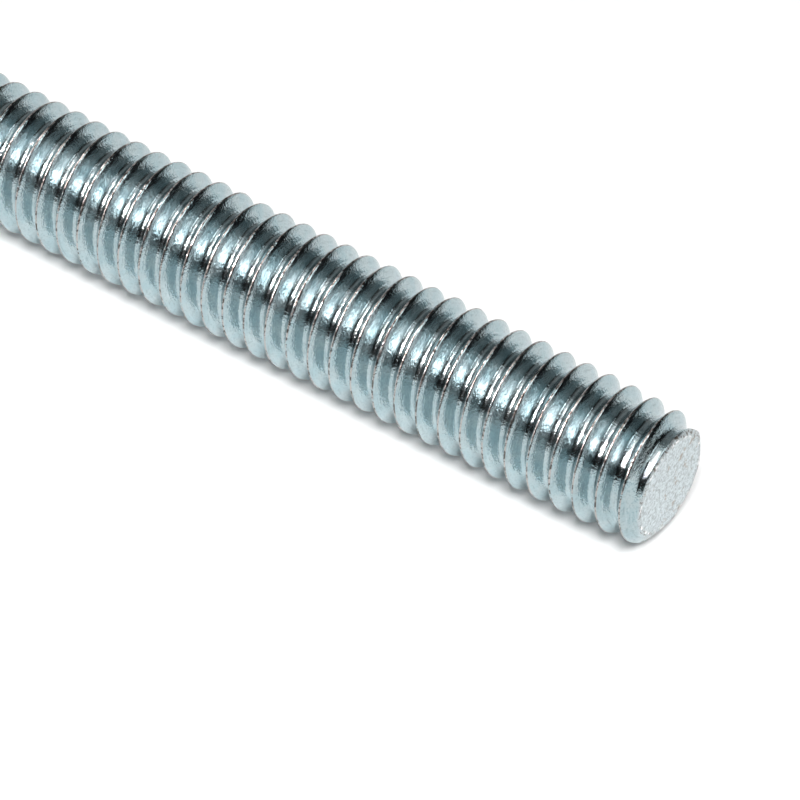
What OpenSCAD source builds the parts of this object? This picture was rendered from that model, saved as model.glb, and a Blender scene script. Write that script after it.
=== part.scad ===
// Fully threaded rod, right-hand single-start thread of 60 degree form, zinc-plated steel.
// Millimetres. The rod lies along +X with the centre of its far end face at the origin.

/* [Rod] */
// Length over both end faces
rod_length = 76.2; // [40:0.1:120]

/* [Thread] */
// Diameter over the crests
major_d = 7.7; // [6.8:0.01:9]
// Distance from one crest to the next along the rod
thread_pitch = 1.4111; // [1.1:0.0001:1.8]
// Angle between the two flanks of a groove
flank_angle = 60; // [50:1:70]
// Width of the narrow flat left on the crest by the rolling dies
crest_flat = 0.08; // [0.05:0.005:0.2]
// Width of the flat at the root of the groove
root_flat = 0.335; // [0.2:0.005:0.42]
// Degrees round the rod, from +Y towards +Z, where the crest line runs into the near end face
crest_angle = 20; // [0:1:359]

/* [Ends] */
// How far the rim of each end face lies inside the thread's root
face_inset = 0.12; // [0:0.005:0.5]
// Slope of the chamfer behind each end face, from the rod's axis
chamfer_angle = 56; // [45:1:70]
// How far the crest lies below the full crest where the thread meets an end face
crest_drop = 0.25; // [0.05:0.01:0.35]
// Length over which the crests rise from there to the full crest
taper_length = 6; // [0.5:0.1:12]

/* [Hidden] */

major_r = major_d / 2;
thread_depth = (thread_pitch - crest_flat - root_flat) / 2 / tan(flank_angle / 2);
root_r = major_r - thread_depth;
face_r = root_r - face_inset;

// The thread starts and stops more than a turn outside the rod, where the end cuts remove it
spare_turns = 2;
crest_x = rod_length - thread_pitch * crest_angle / 360;
start_x = crest_x - thread_pitch * (ceil(crest_x / thread_pitch) + spare_turns);
turns = ceil(rod_length / thread_pitch) + 2 * spare_turns;

// One groove's profile as [distance along the rod, radius], from the near edge of a crest to the next.
// Where the crest is lower, its flanks keep their slope and reach the root sooner.
function profile(drop) =
    let (foot = (thread_pitch - root_flat) / 2 - drop * tan(flank_angle / 2))
    [
        [-crest_flat / 2, major_r - drop],
        [crest_flat / 2, major_r - drop],
        [foot, root_r],
        [thread_pitch - foot, root_r]
    ];
corners = len(profile(0));

// The dies filled the crests less towards each end face
function drop_at(x) =
    let (depth = min(max(min(x, rod_length - x), 0), taper_length))
    crest_drop * pow(1 - depth / taper_length, 2);

// Facets round one turn: fewer on a long or fine rod, so that the surface keeps its count of faces
face_budget = 11400;
finest_turn = 24;
coarsest_turn = 8;
steps = max(coarsest_turn, min(finest_turn, floor(face_budget / (2 * corners * turns))));
last = steps * turns;

// Each step of the helix holds one profile; the run of crest edges past the last step closes the final groove
function helix_point(i, j) =
    let (
        a = 360 * i / steps,
        crest = start_x + thread_pitch * i / steps,
        corner = profile(drop_at(crest))[j],
        r = corner[1]
    )
    [crest + corner[0], r * cos(a), r * sin(a)];
function at(i, j) =
    j == corners ? at(i + steps, 0)
    : i <= last ? corners * i + j
    : corners * (last + 1) + i - last - 1;

helix_points = concat(
    [for (i = [0 : last]) for (j = [0 : corners - 1]) helix_point(i, j)],
    [for (i = [last + 1 : last + steps]) helix_point(i, 0)]
);
start_hub = len(helix_points);
stop_hub = start_hub + 1;
hub_points = [for (i = [0, last]) [start_x + thread_pitch * (i / steps + 0.5), 0, 0]];

// The outline of the cut face where the helix starts or stops: once round the crest edge, then down the profile
function rim(i) = concat(
    [for (k = [0 : steps - 1]) at(i + k, 0)],
    [for (j = [corners : -1 : 1]) at(i, j)]
);
function fan(hub, ring, flip) = [
    for (k = [0 : len(ring) - 1])
        let (p = ring[k], q = ring[(k + 1) % len(ring)])
        flip ? [hub, q, p] : [hub, p, q]
];

module helical_thread() {
    polyhedron(
        points = concat(helix_points, hub_points),
        faces = concat(
            [for (i = [0 : last - 1]) for (j = [0 : corners - 1]) [at(i, j), at(i + 1, j), at(i + 1, j + 1)]],
            [for (i = [0 : last - 1]) for (j = [0 : corners - 1]) [at(i, j), at(i + 1, j + 1), at(i, j + 1)]],
            fan(start_hub, rim(0), true),
            fan(stop_hub, rim(last), false)
        ),
        convexity = 10
    );
}

// Everything outside one rod end: beyond its face and its chamfer
module end_cut() {
    clear_r = major_r + thread_pitch;
    chamfer_x = (clear_r - face_r) / tan(chamfer_angle);
    beyond = (spare_turns + 3) * thread_pitch;
    rotate([0, 90, 0])
        rotate_extrude($fn = 96)
            polygon([
                [0, 0],
                [face_r, 0],
                [clear_r, -chamfer_x],
                [clear_r, beyond],
                [0, beyond]
            ]);
}

module threaded_rod() {
    color([0.72, 0.78, 0.80])
        difference() {
            helical_thread();
            translate([rod_length, 0, 0]) end_cut();
            mirror([1, 0, 0]) end_cut();
        }
}

threaded_rod();
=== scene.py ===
"""Zinc-plated threaded rod lying on a white studio table, seen from above its cut end."""
from math import cos, pi, radians, sin

import bpy
import numpy as np
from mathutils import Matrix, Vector


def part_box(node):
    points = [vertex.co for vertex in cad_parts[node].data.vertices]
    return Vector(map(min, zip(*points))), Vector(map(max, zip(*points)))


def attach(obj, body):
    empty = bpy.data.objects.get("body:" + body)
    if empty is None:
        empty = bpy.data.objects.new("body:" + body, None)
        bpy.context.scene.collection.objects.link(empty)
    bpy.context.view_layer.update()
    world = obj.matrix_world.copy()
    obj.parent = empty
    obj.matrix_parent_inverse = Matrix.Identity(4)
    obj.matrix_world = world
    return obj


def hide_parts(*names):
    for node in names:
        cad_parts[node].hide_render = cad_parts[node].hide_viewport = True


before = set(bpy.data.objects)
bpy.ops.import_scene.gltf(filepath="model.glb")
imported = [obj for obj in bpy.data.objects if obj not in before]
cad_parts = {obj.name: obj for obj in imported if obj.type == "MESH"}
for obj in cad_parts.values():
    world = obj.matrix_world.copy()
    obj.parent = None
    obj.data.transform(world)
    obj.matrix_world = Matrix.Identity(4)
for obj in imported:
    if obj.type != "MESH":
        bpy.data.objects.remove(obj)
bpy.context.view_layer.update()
scene = bpy.context.scene


# Threaded rod
# Low-carbon steel wire, threaded by rolling between flat dies and then sheared to length. The dies
# squeeze the metal up from both sides, so each crest ends in two lips with a worn seam between them.
MM = 0.001
rod_low, rod_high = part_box("threaded_rod")
rod_length = rod_high.x - rod_low.x
major_r = (rod_high.z - rod_low.z) / 2
thread_pitch = 1.4111 * MM
crest_flat = 0.08 * MM
root_flat = 0.335 * MM
flank_slope = 1 / np.tan(radians(30))
crest_angle = radians(20)
face_r = 2.865 * MM
chamfer_slope = np.tan(radians(56))
crest_drop = 0.25 * MM
taper_length = 6 * MM

# What rolling and shearing leave: soft edges, flanks that stand out a little in their middle, a seam
# along each crest, uneven crests and a ragged rim round each end face
crest_rounding = 0.035 * MM
root_rounding = 0.03 * MM
flank_bow = 0.05 * MM
seam_depth = 0.012 * MM
seam_width = 0.035 * MM
crest_wear = 0.02 * MM
wear_width = 0.3 * MM
rim_wear = 0.05 * MM
rim_wear_length = 0.5 * MM
rim_edge = 0.03 * MM

# The thread's grid has rows across one pitch of the profile, closest at the crest, and columns round each
# turn. Column 0 lies at +Y, a turn or more before the far end. Whole turns later, last_crest is where the
# crest passes +Y just before the near end.
half_profile = np.array([0, 0.025, 0.05, 0.08, 0.16, 0.26, 0.37, 0.47, 0.53, 0.6]) * MM
profile = np.concatenate([half_profile, [thread_pitch / 2], thread_pitch - half_profile[:0:-1]])
rows = len(profile)
columns = 84
column_angles = 2 * pi * np.arange(columns) / columns
turns = int(np.ceil(rod_length / thread_pitch)) + 3
helix_columns = turns * columns + 1
last_crest = rod_length - thread_pitch * crest_angle / (2 * pi)
helix_start = last_crest - thread_pitch * (np.ceil(last_crest / thread_pitch) + 1)


def ramp(distance, start, rounding):
    """How far distance is past start: zero before it and growing one for one after it, with a rounded
    corner. The formula is rounding times log(1 + exp((distance - start) / rounding))."""
    return rounding * np.logaddexp(0, (distance - start) / rounding)


def thread_radius(distance, drop):
    """Radius of the thread at a distance along the rod from the nearest crest's middle: the crest radius
    less its drop, less the flank's slope times how far the distance is past the crest's edge, until the
    root's edge. A lower crest's flanks reach the root sooner. The flank stands out from a straight one by
    4 * bow * t * (1 - t), where t runs from 0 at the crest's edge to 1 at the root's."""
    past_crest = ramp(distance, crest_flat / 2, crest_rounding)
    past_root = ramp(distance, (thread_pitch - root_flat) / 2 - drop / flank_slope, root_rounding)
    flank_width = (thread_pitch - root_flat - crest_flat) / 2
    down_flank = np.clip((distance - crest_flat / 2) / flank_width, 0, 1)
    bow = 4 * flank_bow * down_flank * (1 - down_flank)
    return major_r - drop - flank_slope * (past_crest - past_root) + bow


def drop_at(x):
    """How far the dies left the crest below the full crest: crest_drop at an end face, falling to nothing
    over the taper as the square of what is left of it."""
    depth = np.clip(np.minimum(x, rod_length - x), 0, taper_length)
    return crest_drop * (1 - depth / taper_length) ** 2


def end_radius(depth, rim_height):
    """Radius of the cut end at a depth behind its face: the face's radius plus the chamfer's slope times
    the depth, plus the ragged rim's height, which dies away as exp(-depth / rim_wear_length)."""
    return face_r + chamfer_slope * depth + rim_height * np.exp(-depth / rim_wear_length)


def smooth_noise(count, spacing, seed):
    """A row of random heights from -1 to 1, drawn every spacing steps and joined by cosine curves."""
    knots = np.random.default_rng(seed).uniform(-1, 1, count // spacing + 3)
    place = np.arange(count) / spacing
    whole = place.astype(int)
    blend = (1 - np.cos((place - whole) * pi)) / 2
    return knots[whole] * (1 - blend) + knots[whole + 1] * blend


def round_axis(x, radius, angle):
    """Points at x along the rod, a radius out from its axis and an angle from +Y towards +Z."""
    return np.stack([x, radius * np.cos(angle), radius * np.sin(angle)], axis=-1).reshape(-1, 3)


def thread_points(rim_height):
    """The thread's points, and which of them the end cuts made. Row j keeps one place on the profile and
    column i goes round the helix, so x = start + pitch * turns + place on the profile, and the angle is
    the turns. Points past an end are drawn back to its face."""
    i, j = np.meshgrid(np.arange(helix_columns), np.arange(rows), indexing="ij")
    crest_x = helix_start + thread_pitch * i / columns
    nearest_crest = crest_x + thread_pitch * (profile[j] > thread_pitch / 2)
    from_crest = np.minimum(profile, thread_pitch - profile)[None, :]
    seam = seam_depth * np.exp(-((from_crest / seam_width) ** 2))
    seam = seam * (1 + smooth_noise(helix_columns, 5, 1))[:, None]
    wear = crest_wear * np.clip(1 - from_crest / wear_width, 0, 1)
    wear = wear * (1 + smooth_noise(helix_columns, 9, 2))[:, None]
    rolled_radius = thread_radius(from_crest, drop_at(nearest_crest)) - seam - wear
    x = crest_x + profile[j]
    depth = np.clip(np.minimum(x, rod_length - x), 0, None)
    cut_radius = end_radius(depth, rim_height[i % columns])
    radius = np.minimum(rolled_radius, cut_radius)
    points = round_axis(np.clip(x, 0, rod_length), radius, 2 * pi * i / columns)
    return points, (cut_radius < rolled_radius).reshape(-1)


def thread_triangles():
    """Triangles between neighbouring rows and columns. Past the last row comes the first row, one turn on.
    A corner's place on the UV map is its way along the crest and across the profile, in millimetres."""
    i, j = np.meshgrid(np.arange(helix_columns - 1 - columns), np.arange(rows), indexing="ij")
    here = i * rows + j
    ahead = here + rows
    up = (i + (j + 1) // rows * columns) * rows + (j + 1) % rows
    up_ahead = up + rows
    triangles = np.concatenate([
        np.stack([here, ahead, up_ahead], axis=-1).reshape(-1, 3),
        np.stack([here, up_ahead, up], axis=-1).reshape(-1, 3),
    ])
    run = 2 * pi * major_r / MM * i / columns
    run_ahead = 2 * pi * major_r / MM * (i + 1) / columns
    across = profile[j] / MM
    across_up = np.append(profile, thread_pitch)[j + 1] / MM
    corners = np.concatenate([
        np.stack([run, across, run_ahead, across, run_ahead, across_up], axis=-1).reshape(-1, 3, 2),
        np.stack([run, across, run_ahead, across_up, run, across_up], axis=-1).reshape(-1, 3, 2),
    ])
    return triangles, corners


def end_face(face_x, rim, rim_height, first_point):
    """The points and triangles that fill an end face inside its rim: rings with shares of the rim's radius,
    and a point at the centre. They are numbered from first_point, and face +X."""
    ring_shares = np.array([0.985, 0.95, 0.85, 0.7, 0.55, 0.4, 0.25, 0.1])
    radius = ring_shares[:, None] * end_radius(0, rim_height)
    angles = np.broadcast_to(column_angles, radius.shape)
    rings = round_axis(np.full(radius.shape, face_x), radius, angles)
    loops = np.concatenate([rim[None], first_point + np.arange(len(rings)).reshape(-1, columns)])
    loops_on = np.roll(loops, -1, axis=1)
    centre = np.full(columns, first_point + len(rings))
    triangles = np.concatenate([
        np.stack([loops[:-1], loops_on[:-1], loops_on[1:]], axis=-1).reshape(-1, 3),
        np.stack([loops[:-1], loops_on[1:], loops[1:]], axis=-1).reshape(-1, 3),
        np.stack([loops[-1], loops_on[-1], centre], axis=-1),
    ])
    return np.concatenate([rings, [[face_x, 0, 0]]]), triangles


def rod_surface():
    """The whole skin of the rod as points, triangles, their corners on the UV map, and which points the
    end cuts made. The thread's points at an end face are merged into its rim, one for each column."""
    rim_height = rim_wear * smooth_noise(columns, 2, 3)
    # The rim ends at the height it starts from, so that it closes
    rim_height[-2:] = rim_height[0]
    points, cut = thread_points(rim_height)
    triangles, corners = thread_triangles()

    thread_count = len(points)
    far_rim = thread_count + np.arange(columns)
    near_rim = far_rim + columns
    point_column = np.arange(thread_count) // rows % columns
    merged = np.where(points[:, 0] <= 0, far_rim[point_column], np.arange(thread_count))
    merged = np.where(points[:, 0] >= rod_length, near_rim[point_column], merged)
    triangles = merged[triangles]
    kept = (triangles != np.roll(triangles, 1, axis=1)).all(axis=1)
    triangles = triangles[kept]
    corners = corners[kept]

    for rim_x in (rim_edge, rod_length - rim_edge):
        rim_points = round_axis(np.full(columns, rim_x), end_radius(0, rim_height), column_angles)
        points = np.concatenate([points, rim_points])
    for face_x, rim, order in ((0.0, far_rim, -1), (rod_length, near_rim, 1)):
        face_points, face_triangles = end_face(face_x, rim, rim_height, len(points))
        points = np.concatenate([points, face_points])
        triangles = np.concatenate([triangles, face_triangles[:, ::order]])
        corners = np.concatenate([corners, np.zeros((len(face_triangles), 3, 2))])
    cut = np.append(cut, np.ones(len(points) - thread_count, dtype=bool))

    used, renumbered = np.unique(triangles, return_inverse=True)
    return points[used], renumbered.reshape(-1, 3), corners, cut[used]


points, triangles, corners, cut = rod_surface()
rod_mesh = bpy.data.meshes.new("rolled_rod")
rod_mesh.from_pydata(points.tolist(), [], triangles.tolist())
rod_mesh.polygons.foreach_set("use_smooth", np.ones(len(triangles), dtype=bool))
rod_mesh.uv_layers.new(name="thread").data.foreach_set("uv", corners.reshape(-1).astype(np.float32))
rod_mesh.attributes.new("cut", "FLOAT", "POINT").data.foreach_set("value", cut.astype(np.float32))
rod_mesh.update()
rod = bpy.data.objects.new("rolled_rod", rod_mesh)
scene.collection.objects.link(rod)


def linear(hex_colour):
    """An sRGB hex colour as linear red, green, blue and alpha."""
    parts = [int(hex_colour[k:k + 2], 16) / 255 for k in (1, 3, 5)]
    return [p / 12.92 if p <= 0.04045 else ((p + 0.055) / 1.055) ** 2.4 for p in parts] + [1.0]


def add_node(tree, kind, inputs=None, output=0, **settings):
    """Adds a node of a kind to a tree, sets its properties and returns the output named or numbered. Each
    input named or numbered in inputs is linked where a socket is given, and takes the value otherwise."""
    node = tree.nodes.new(kind)
    for name, value in settings.items():
        setattr(node, name, value)
    for name, given in (inputs or {}).items():
        if isinstance(given, bpy.types.NodeSocket):
            tree.links.new(given, node.inputs[name])
        else:
            node.inputs[name].default_value = given
    return node.outputs[output]


def zinc_plated_steel():
    """Electroplated zinc with a clear bluish passivation over cold-rolled steel. Seen close it is a bright
    metal with fine drawn streaks along the thread, a crystalline grain that breaks highlights into sparkle,
    and crests worn to pale metal with dark specks. The sheared ends are duller and pitted."""
    material = bpy.data.materials.new("zinc_plated_rolled_steel")
    material.use_nodes = True
    tree = material.node_tree
    shader = tree.nodes["Principled BSDF"]
    shader.inputs["Metallic"].default_value = 1.0

    # Each pattern's count is how often it repeats in a millimetre. Zinc's crystals are a few hundredths
    # of a millimetre wide, and they are drawn about 0.15 mm wide, as coarse as they need to be to show.
    place = add_node(tree, "ShaderNodeTexCoord", output="Object")
    patterns = {}
    for name, count, detail, roughness in (
        ("grain", 6.5, 2.0, 0.65),
        ("fine", 8.2, 1.0, 0.5),
        ("patches", 0.9, 3.0, 0.6),
        ("specks", 4.2, 2.0, 0.7),
        # The next pattern places the pale worn metal on the crests and the painted glints on the rims of
        # the cut ends
        ("wear_and_glints", 2.3, 2.0, 0.6),
        ("pits", 4.2, 4.0, 0.75),
        ("blots", 1.5, 3.0, 0.65),
    ):
        patterns[name] = add_node(tree, "ShaderNodeTexNoise", {
            "Vector": place, "Scale": count / MM, "Detail": detail, "Roughness": roughness,
        })
    # The UV map is in millimetres along the crest and across the profile: a streak is long and thin
    thread = add_node(tree, "ShaderNodeUVMap", uv_map="thread")
    drawn_out = add_node(tree, "ShaderNodeMapping", {"Vector": thread, "Scale": (0.8, 13.0, 1.0)})
    patterns["streaks"] = add_node(tree, "ShaderNodeTexNoise", {
        "Vector": drawn_out, "Scale": 1.0, "Detail": 3.0, "Roughness": 0.65,
    })

    # Masks: the rolled thread, its crests' tops, and the chamfer, face and rim of the cut ends
    cut_end = add_node(tree, "ShaderNodeAttribute", output="Fac", attribute_name="cut")
    rolled = add_node(tree, "ShaderNodeMath", {0: 1.0, 1: cut_end}, operation="SUBTRACT")
    across = add_node(tree, "ShaderNodeSeparateXYZ", {0: thread}, "Y")
    half_pitch = thread_pitch / MM / 2
    from_crest = add_node(tree, "ShaderNodeMath", {0: across, 1: half_pitch}, operation="PINGPONG")
    along_rod = add_node(tree, "ShaderNodeSeparateXYZ", {0: place}, "X")
    depth = add_node(tree, "ShaderNodeMath", {0: along_rod, 1: rod_length / 2}, operation="PINGPONG")
    off_axis = add_node(tree, "ShaderNodeVectorMath", {0: place, 1: (0, 1, 1)}, operation="MULTIPLY")
    off_axis = add_node(tree, "ShaderNodeVectorMath", {0: off_axis}, "Value", operation="LENGTH")
    masks = []
    for value, low, high, part in (
        (from_crest, 0.065, 0.035, rolled),
        (depth, 0.01 * MM, 0.03 * MM, cut_end),
        (off_axis, 2.6 * MM, 2.85 * MM, 1.0),
    ):
        share = add_node(tree, "ShaderNodeMapRange", {
            "Value": value, "From Min": low, "From Max": high,
        }, interpolation_type="SMOOTHSTEP")
        masks.append(add_node(tree, "ShaderNodeMath", {0: share, 1: part}, operation="MULTIPLY"))
    crest, chamfer, outer = masks
    face = add_node(tree, "ShaderNodeMath", {0: cut_end, 1: chamfer}, operation="SUBTRACT")
    rim = add_node(tree, "ShaderNodeMath", {0: face, 1: outer}, operation="MULTIPLY")

    # Colours laid one over another: each shows inside its mask, from nothing where its pattern is at low to
    # its strength where the pattern is at high
    plating_layers = (
        ("patches", 0.38, 0.62, 1.0, 1.0, "#b2c1c4"),
        ("fine", 0.5, 0.3, 0.4, 1.0, "#7d9298"),
        ("streaks", 0.56, 0.7, 0.5, 1.0, "#cad6d9"),
        ("streaks", 0.44, 0.3, 0.6, 1.0, "#7d8f94"),
        ("wear_and_glints", 0.36, 0.44, 1.0, crest, "#b6b1ae"),
        ("specks", 0.5, 0.56, 1.0, crest, "#4f4a46"),
    )
    sheared_layers = (
        ("pits", 0.36, 0.56, 1.0, 1.0, "#d8e2e5"),
        ("fine", 0.5, 0.36, 0.4, face, "#98a2a4"),
        ("blots", 0.6, 0.7, 1.0, face, "#a8a39a"),
        ("specks", 0.5, 0.58, 1.0, rim, "#6f6a62"),
        ("specks", 0.5, 0.58, 1.0, chamfer, "#6f6a62"),
        # Painted glints: nicks in the rim coloured pure white so that they shine as highlights
        ("wear_and_glints", 0.54, 0.6, 1.0, rim, "#ffffff"),
    )
    finishes = []
    for ground, layers in (("#a6bbc0", plating_layers), ("#abb4b6", sheared_layers)):
        colour = linear(ground)
        for name, low, high, strength, mask, layer_colour in layers:
            share = add_node(tree, "ShaderNodeMapRange", {
                "Value": patterns[name], "From Min": low, "From Max": high, "To Max": strength,
            }, interpolation_type="SMOOTHSTEP")
            share = add_node(tree, "ShaderNodeMath", {0: share, 1: mask}, operation="MULTIPLY")
            colour = add_node(tree, "ShaderNodeMix", {
                0: share, 6: colour, 7: linear(layer_colour),
            }, 2, data_type="RGBA")
        finishes.append(colour)
    plating, sheared = finishes
    colour = add_node(tree, "ShaderNodeMix", {0: cut_end, 6: plating, 7: sheared}, 2, data_type="RGBA")
    tree.links.new(colour, shader.inputs["Base Color"])

    # Bright plating, rougher where the crests are worn, and a dull break at the ends
    polish = add_node(tree, "ShaderNodeMapRange", {
        "Value": patterns["patches"], "From Min": 0.3, "From Max": 0.7, "To Min": 0.09, "To Max": 0.15,
    }, interpolation_type="SMOOTHSTEP")
    polish = add_node(tree, "ShaderNodeMath", {0: crest, 1: 0.14, 2: polish}, operation="MULTIPLY_ADD")
    dull = add_node(tree, "ShaderNodeMapRange", {
        "Value": patterns["pits"], "From Min": 0.3, "From Max": 0.6, "To Min": 0.42, "To Max": 0.28,
    }, interpolation_type="SMOOTHSTEP")
    roughness = add_node(tree, "ShaderNodeMix", {0: cut_end, 2: polish, 3: dull}, data_type="FLOAT")
    tree.links.new(roughness, shader.inputs["Roughness"])

    # Relief, one bump over another: streaks on the rolled thread, grain everywhere, pits on the cut ends
    drawn = add_node(tree, "ShaderNodeBump", {
        "Height": patterns["streaks"], "Strength": rolled, "Distance": 0.014 * MM,
    })
    grained = add_node(tree, "ShaderNodeBump", {
        "Height": patterns["grain"], "Strength": 1.0, "Distance": 0.022 * MM, "Normal": drawn,
    })
    pitted = add_node(tree, "ShaderNodeBump", {
        "Height": patterns["pits"], "Strength": cut_end, "Distance": 0.05 * MM, "Normal": grained,
    })
    tree.links.new(pitted, shader.inputs["Normal"])
    return material


rod.data.materials.append(zinc_plated_steel())
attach(rod, "root")
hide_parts("threaded_rod")


# Studio table
# A seamless sheet of matt white paper that the rod lies on. It takes the rod's soft shadow, and it is
# lifted a little towards plain white where the camera or the metal sees it.
table_reach = 600 * MM
table_z = rod_low.z
paper_lift = 0.09


def stage_sheet(name, points, faces, material):
    """A mesh of the studio, which isn't part of the rod."""
    mesh = bpy.data.meshes.new(name)
    mesh.from_pydata(points, [], faces)
    mesh.materials.append(material)
    sheet = bpy.data.objects.new(name, mesh)
    scene.collection.objects.link(sheet)
    return sheet


def white_paper():
    """Matt white paper, with no gloss. The lift is a faint glow that only the camera and the metal see,
    and it makes the sheet read as plain white."""
    paper = bpy.data.materials.new("matt_white_paper")
    paper.use_nodes = True
    tree = paper.node_tree
    shader = tree.nodes["Principled BSDF"]
    shader.inputs["Base Color"].default_value = linear("#f4f4f4")
    shader.inputs["Roughness"].default_value = 1.0
    shader.inputs["Specular IOR Level"].default_value = 0
    shader.inputs["Emission Color"].default_value = (1, 1, 1, 1)
    camera_ray = add_node(tree, "ShaderNodeLightPath", output="Is Camera Ray")
    metal_ray = add_node(tree, "ShaderNodeLightPath", output="Is Glossy Ray")
    seen = add_node(tree, "ShaderNodeMath", {0: camera_ray, 1: metal_ray}, operation="MAXIMUM")
    lift = add_node(tree, "ShaderNodeMath", {0: seen, 1: paper_lift}, operation="MULTIPLY")
    tree.links.new(lift, shader.inputs["Emission Strength"])
    return paper


table_corners = [
    (u * table_reach, v * table_reach, table_z)
    for u, v in ((-1, -1), (1, -1), (1, 1), (-1, 1))
]
stage_sheet("studio_table", table_corners, [(0, 1, 2, 3)], white_paper())


# Studio tent
# A dome of dark grey cloth round the table. Only the metal sees it: it gives the thread its black patches,
# and white backdrop shows in the metal below its hem. From the right round to behind, the cloth hangs
# straight down to the table, so that the metal there stays dark.
tent_radius = 450 * MM
tent_hem = radians(9)
tent_columns = 48
tent_rows = 12
hanging_columns = 8


def tent_dome():
    """Points and faces of the dome: rings of points at heights from the hem to the top, each point at
    radius * (cos height * cos turn, cos height * sin turn, sin height), closed by one point at the top."""
    height, turn = np.meshgrid(
        np.linspace(tent_hem, pi / 2, tent_rows, endpoint=False),
        np.linspace(0, 2 * pi, tent_columns, endpoint=False),
        indexing="ij",
    )
    dome = tent_radius * np.stack([
        np.cos(height) * np.cos(turn), np.cos(height) * np.sin(turn), np.sin(height),
    ], axis=-1)
    dome[0, :hanging_columns, :2] /= cos(tent_hem)
    dome[0, :hanging_columns, 2] = table_z
    points = np.concatenate([dome.reshape(-1, 3), [[0, 0, tent_radius]]])
    loops = np.arange(tent_rows * tent_columns).reshape(tent_rows, tent_columns)
    loops_on = np.roll(loops, -1, axis=1)
    walls = np.stack([loops[:-1], loops_on[:-1], loops_on[1:], loops[1:]], axis=-1).reshape(-1, 4)
    top = np.stack([loops[-1], loops_on[-1], np.full(tent_columns, len(points) - 1)], axis=-1)
    return points.tolist(), walls.tolist() + top.tolist()


def tent_cloth():
    """Dark grey cloth with a faint glow of its own: almost black at the right and in front, dark grey at
    the back left and middle grey at the top. The metal shows it as soft steps from black to grey."""
    cloth = bpy.data.materials.new("dark_grey_cloth")
    cloth.use_nodes = True
    tree = cloth.node_tree
    tree.nodes.clear()
    place = add_node(tree, "ShaderNodeTexCoord", output="Object")
    height = add_node(tree, "ShaderNodeSeparateXYZ", {0: place}, "Z")
    back_left = (-0.87, 0.5, 0)
    to_back = add_node(tree, "ShaderNodeVectorMath", {
        0: place, 1: back_left,
    }, "Value", operation="DOT_PRODUCT")
    glows = []
    for value, low, high, dark, light in ((height, 0.88, 0.97, 0.01, 0.4), (to_back, 0.1, 0.6, 0.0, 0.22)):
        glows.append(add_node(tree, "ShaderNodeMapRange", {
            "Value": value,
            "From Min": low * tent_radius,
            "From Max": high * tent_radius,
            "To Min": dark,
            "To Max": light,
        }))
    glow = add_node(tree, "ShaderNodeMath", {0: glows[0], 1: glows[1]}, operation="ADD")
    cloth_light = add_node(tree, "ShaderNodeEmission", {"Strength": glow})
    surface = tree.nodes.new("ShaderNodeOutputMaterial").inputs["Surface"]
    tree.links.new(cloth_light, surface)
    return cloth


rod_middle = Vector((rod_high.x - 27 * MM, 0, 0))
tent = stage_sheet("studio_tent", *tent_dome(), tent_cloth())
tent.location = rod_middle
tent.visible_camera = False
tent.visible_diffuse = False
tent.visible_shadow = False
tent.visible_transmission = False


# Studio light
# Two small far lamps, at the front left and the left, give each turn its bright spots, straight from the
# crests and by way of both flanks of the groove. Soft boxes and cards near the rod fill the metal between
# them, and a wide lamp at the front right lights the paper alone.


def direction(turn, height):
    """The unit direction at an angle round from +X towards +Y, and a height above the table, in degrees."""
    return Vector((
        cos(radians(height)) * cos(radians(turn)),
        cos(radians(height)) * sin(radians(turn)),
        sin(radians(height)),
    ))


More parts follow.
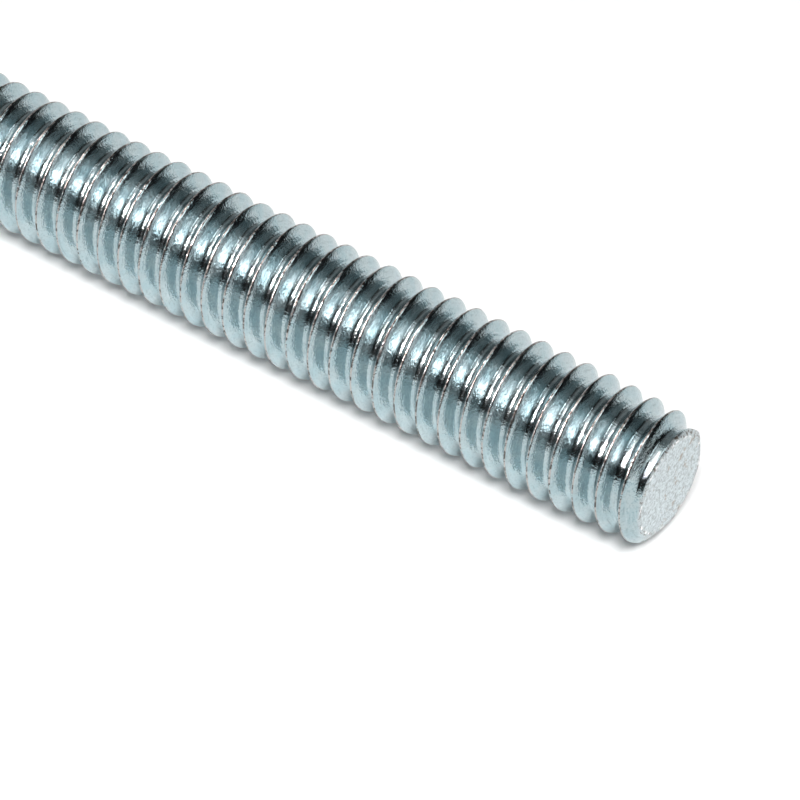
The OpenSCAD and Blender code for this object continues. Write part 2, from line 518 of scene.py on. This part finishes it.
def soft_box(name, turn, height, distance, width, depth, radiance, colour="#ffffff", in_metal=True):
    """A rectangular lamp that faces the rod's middle from a direction. The metal sees it, or else only the
    paper does. Its power is four times its radiance times its area, so that a radiance of 1 shows as
    white."""
    lamp = bpy.data.lights.new(name, "AREA")
    lamp.shape = "RECTANGLE"
    lamp.size = width
    lamp.size_y = depth
    lamp.energy = 4 * radiance * width * depth
    lamp.color = linear(colour)[:3]
    box = bpy.data.objects.new(name, lamp)
    towards = direction(turn, height)
    box.location = rod_middle + towards * distance
    box.rotation_euler = towards.to_track_quat("Z", "Y").to_euler()
    box.visible_glossy = in_metal
    box.visible_diffuse = not in_metal
    scene.collection.objects.link(box)


soft_box("key_soft_box", -120, 54, 165 * MM, 185 * MM, 15 * MM, 1.2)
soft_box("front_left_lamp", -140, 43, 900 * MM, 80 * MM, 80 * MM, 1350, "#ffefed")
soft_box("left_lamp", -176, 55, 900 * MM, 45 * MM, 45 * MM, 880, "#ffefed")
soft_box("top_card_light", 174, 70, 180 * MM, 120 * MM, 90 * MM, 0.6)
soft_box("right_card_light", -4, 24, 200 * MM, 110 * MM, 75 * MM, 0.7)
soft_box("high_right_light", 12, 53, 240 * MM, 120 * MM, 80 * MM, 3)
soft_box("table_lamp", -45, 58, 900 * MM, 330 * MM, 330 * MM, 22.5, in_metal=False)


# Backdrop
# The white wall of the studio. The camera and the metal see it as plain white, and it lights the paper
# only a little.
backdrop_light = 0.07
world = bpy.data.worlds.new("studio")
world.use_nodes = True
scene.world = world
background = world.node_tree.nodes["Background"]
background.inputs["Color"].default_value = (1, 1, 1, 1)
camera_ray = add_node(world.node_tree, "ShaderNodeLightPath", output="Is Camera Ray")
metal_ray = add_node(world.node_tree, "ShaderNodeLightPath", output="Is Glossy Ray")
seen = add_node(world.node_tree, "ShaderNodeMath", {0: camera_ray, 1: metal_ray}, operation="MAXIMUM")
strength = add_node(world.node_tree, "ShaderNodeMapRange", {"Value": seen, "To Min": backdrop_light})
world.node_tree.links.new(strength, background.inputs["Strength"])


# Camera
# A long lens looks down at the cut end, and the rod runs away to the upper left.
aim = Vector((rod_high.x - 15.0 * MM, -3.1 * MM, 0))
camera_distance = 268.5 * MM
towards_camera = direction(-54.4, 44.9)
camera_data = bpy.data.cameras.new("camera")
camera_data.sensor_width = 36
camera_data.lens = 229.4
camera_data.clip_start = 10 * MM
camera_data.clip_end = 10
camera = bpy.data.objects.new("camera", camera_data)
camera.location = aim + towards_camera * camera_distance
camera.rotation_euler = (-towards_camera).to_track_quat("-Z", "Y").to_euler()
scene.collection.objects.link(camera)
scene.camera = camera
scene.view_settings.view_transform = "Standard"
